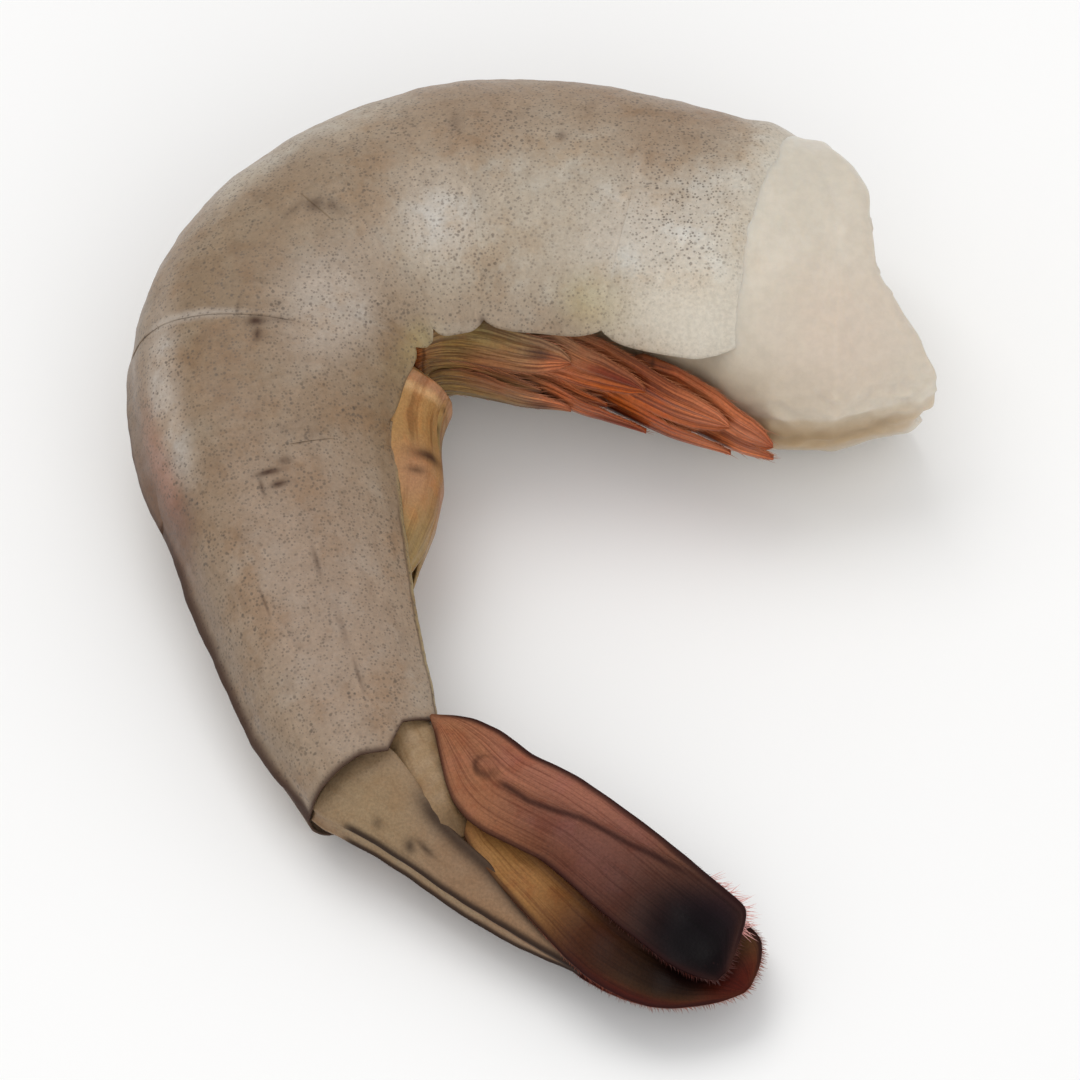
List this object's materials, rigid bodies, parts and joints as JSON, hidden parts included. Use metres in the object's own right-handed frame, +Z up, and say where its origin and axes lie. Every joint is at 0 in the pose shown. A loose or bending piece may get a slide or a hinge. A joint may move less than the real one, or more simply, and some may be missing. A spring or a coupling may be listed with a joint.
{
  "type": "raw tiger prawn",
  "caption": "Raw headless shell-on tiger prawn, curled and lying on its side, with overlapping shell plates, swimmerets, telson and tail fan.",
  "frame": {"origin": "centre of the bounding box at the table it lies on", "axes": "+Z up from the table, which is the prawn's right side; +Y away from the viewer, from the tail fan towards the first segments; +X to the viewer's right, towards the cut neck"},
  "size_m": [0.0534, 0.0706, 0.0174],
  "materials": {
    "prawn_flesh": null,
    "prawn_shell": "wet speckled shell, taupe",
    "tail_shell": "wet shell, olive brown",
    "fan_blade": "wet thin shell, dark reddish purple",
    "swimmeret_skin": "wet skin, orange red"
  },
  "bodies": {
    "root": {"flesh": "prawn_flesh", "shell_1": "prawn_shell", "shell_2": "prawn_shell", "shell_3": "prawn_shell", "shell_4": "prawn_shell", "shell_5": "prawn_shell", "shell_6": "tail_shell", "telson": "tail_shell", "uropod_base_right": "tail_shell", "uropod_inner_right": "fan_blade", "uropod_outer_right": "fan_blade", "swimmeret_right_1": "swimmeret_skin", "swimmeret_right_2": "swimmeret_skin", "swimmeret_right_3": "swimmeret_skin", "swimmeret_right_4": "swimmeret_skin", "swimmeret_right_5": "swimmeret_skin", "uropod_base_left": "tail_shell", "uropod_inner_left": "fan_blade", "uropod_outer_left": "fan_blade", "swimmeret_left_1": "swimmeret_skin", "swimmeret_left_2": "swimmeret_skin", "swimmeret_left_3": "swimmeret_skin", "swimmeret_left_4": "swimmeret_skin", "swimmeret_left_5": "swimmeret_skin"}
  },
  "joints": []
}
